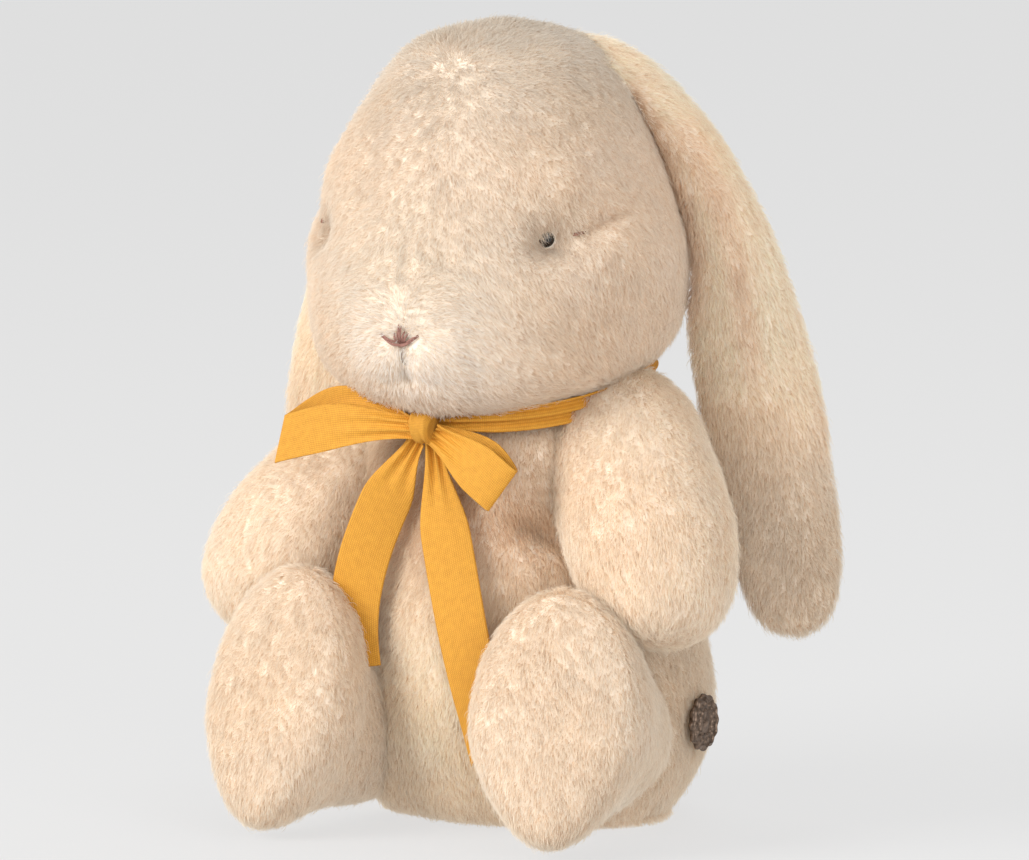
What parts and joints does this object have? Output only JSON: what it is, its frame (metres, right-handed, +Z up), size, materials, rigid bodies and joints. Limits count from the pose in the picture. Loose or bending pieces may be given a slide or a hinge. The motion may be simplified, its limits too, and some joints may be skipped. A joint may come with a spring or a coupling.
{
  "type": "stuffed bunny rabbit",
  "caption": "Seated cream plush bunny with a big egg-shaped head, long hanging ears, stubby arms, fat legs and a ribbon bow at the neck.",
  "frame": {"origin": "on the floor under the middle of the body, on the base panel's flat underside", "axes": "+Z up, the bunny faces -Y, and its left side is +X"},
  "size_m": [0.1936, 0.1582, 0.254],
  "materials": {
    "plush": "matt",
    "fibre_filling": "matt",
    "eye_bead": "gloss",
    "inner_thread": "matt",
    "embroidery": "satin",
    "ribbon": "satin",
    "aged_bronze": "aged",
    "pouch_cloth": "matt",
    "pellet_plastic": "matt"
  },
  "bodies": {
    "head": {"face_left": "plush", "face_right": "plush", "head_back": "plush", "head_stuffing": "fibre_filling", "eye_left": "eye_bead", "eye_right": "eye_bead", "eye_thread": "inner_thread", "nose_stitch": "embroidery", "mouth_stitch": "embroidery"},
    "ear_left": {"ear_left_front": "plush", "ear_left_back": "plush", "ear_left_filling": "fibre_filling"},
    "ear_right": {"ear_right_front": "plush", "ear_right_back": "plush", "ear_right_filling": "fibre_filling"},
    "neck": {"neck_plug": "fibre_filling"},
    "torso": {"body_front": "plush", "body_back_left": "plush", "body_back_right": "plush", "body_base": "plush", "body_stuffing": "fibre_filling", "pellet_pouch": "pouch_cloth", "pellets": "pellet_plastic", "tail_pompom": "plush", "badge_plate": "aged_bronze", "badge_stud": "aged_bronze", "badge_washer": "aged_bronze", "ribbon_neckband": "ribbon", "bow_knot": "ribbon", "bow_loop_left": "ribbon", "bow_loop_right": "ribbon", "bow_tail_left": "ribbon", "bow_tail_right": "ribbon"},
    "arm_left": {"arm_left_outer": "plush", "arm_left_inner": "plush", "arm_left_stuffing": "fibre_filling"},
    "arm_right": {"arm_right_outer": "plush", "arm_right_inner": "plush", "arm_right_stuffing": "fibre_filling"},
    "leg_left": {"leg_left_outer": "plush", "leg_left_inner": "plush", "leg_left_stuffing": "fibre_filling", "foot_left_sole": "plush"},
    "leg_right": {"leg_right_outer": "plush", "leg_right_inner": "plush", "leg_right_stuffing": "fibre_filling", "foot_right_sole": "plush"}
  },
  "joints": [
    {"name": "head_turn", "type": "hinge", "parent": "torso", "child": "neck", "pos_m": [0, -0.001, 0.14], "axis": [0, -0.2079, 0.9781], "range_deg": [-10, 10], "stiffness_Nm_per_rad": 0.6},
    {"name": "head_nod", "type": "hinge", "parent": "neck", "child": "head", "pos_m": [0, -0.001, 0.14], "axis": [1, 0, 0], "range_deg": [-6, 2], "stiffness_Nm_per_rad": 1.2},
    {"name": "ear_left_lift", "type": "hinge", "parent": "head", "child": "ear_left", "pos_m": [0.032, 0.012, 0.244], "axis": [0, -1, 0], "range_deg": [0, 95]},
    {"name": "ear_right_lift", "type": "hinge", "parent": "head", "child": "ear_right", "pos_m": [-0.032, 0.012, 0.244], "axis": [0, 1, 0], "range_deg": [0, 95]},
    {"name": "arm_left_swing", "type": "hinge", "parent": "torso", "child": "arm_left", "pos_m": [0.046, -0.009, 0.107], "axis": [-1, 0, 0], "range_deg": [-2, 40], "stiffness_Nm_per_rad": 0.15},
    {"name": "arm_right_swing", "type": "hinge", "parent": "torso", "child": "arm_right", "pos_m": [-0.046, -0.009, 0.107], "axis": [-1, 0, 0], "range_deg": [-2, 40], "stiffness_Nm_per_rad": 0.15},
    {"name": "leg_left_swing", "type": "hinge", "parent": "torso", "child": "leg_left", "pos_m": [0.04, -0.02, 0.031], "axis": [-1, 0, 0], "range_deg": [-22, 3], "stiffness_Nm_per_rad": 0.3},
    {"name": "leg_right_swing", "type": "hinge", "parent": "torso", "child": "leg_right", "pos_m": [-0.04, -0.02, 0.031], "axis": [-1, 0, 0], "range_deg": [-22, 3], "stiffness_Nm_per_rad": 0.3}
  ]
}
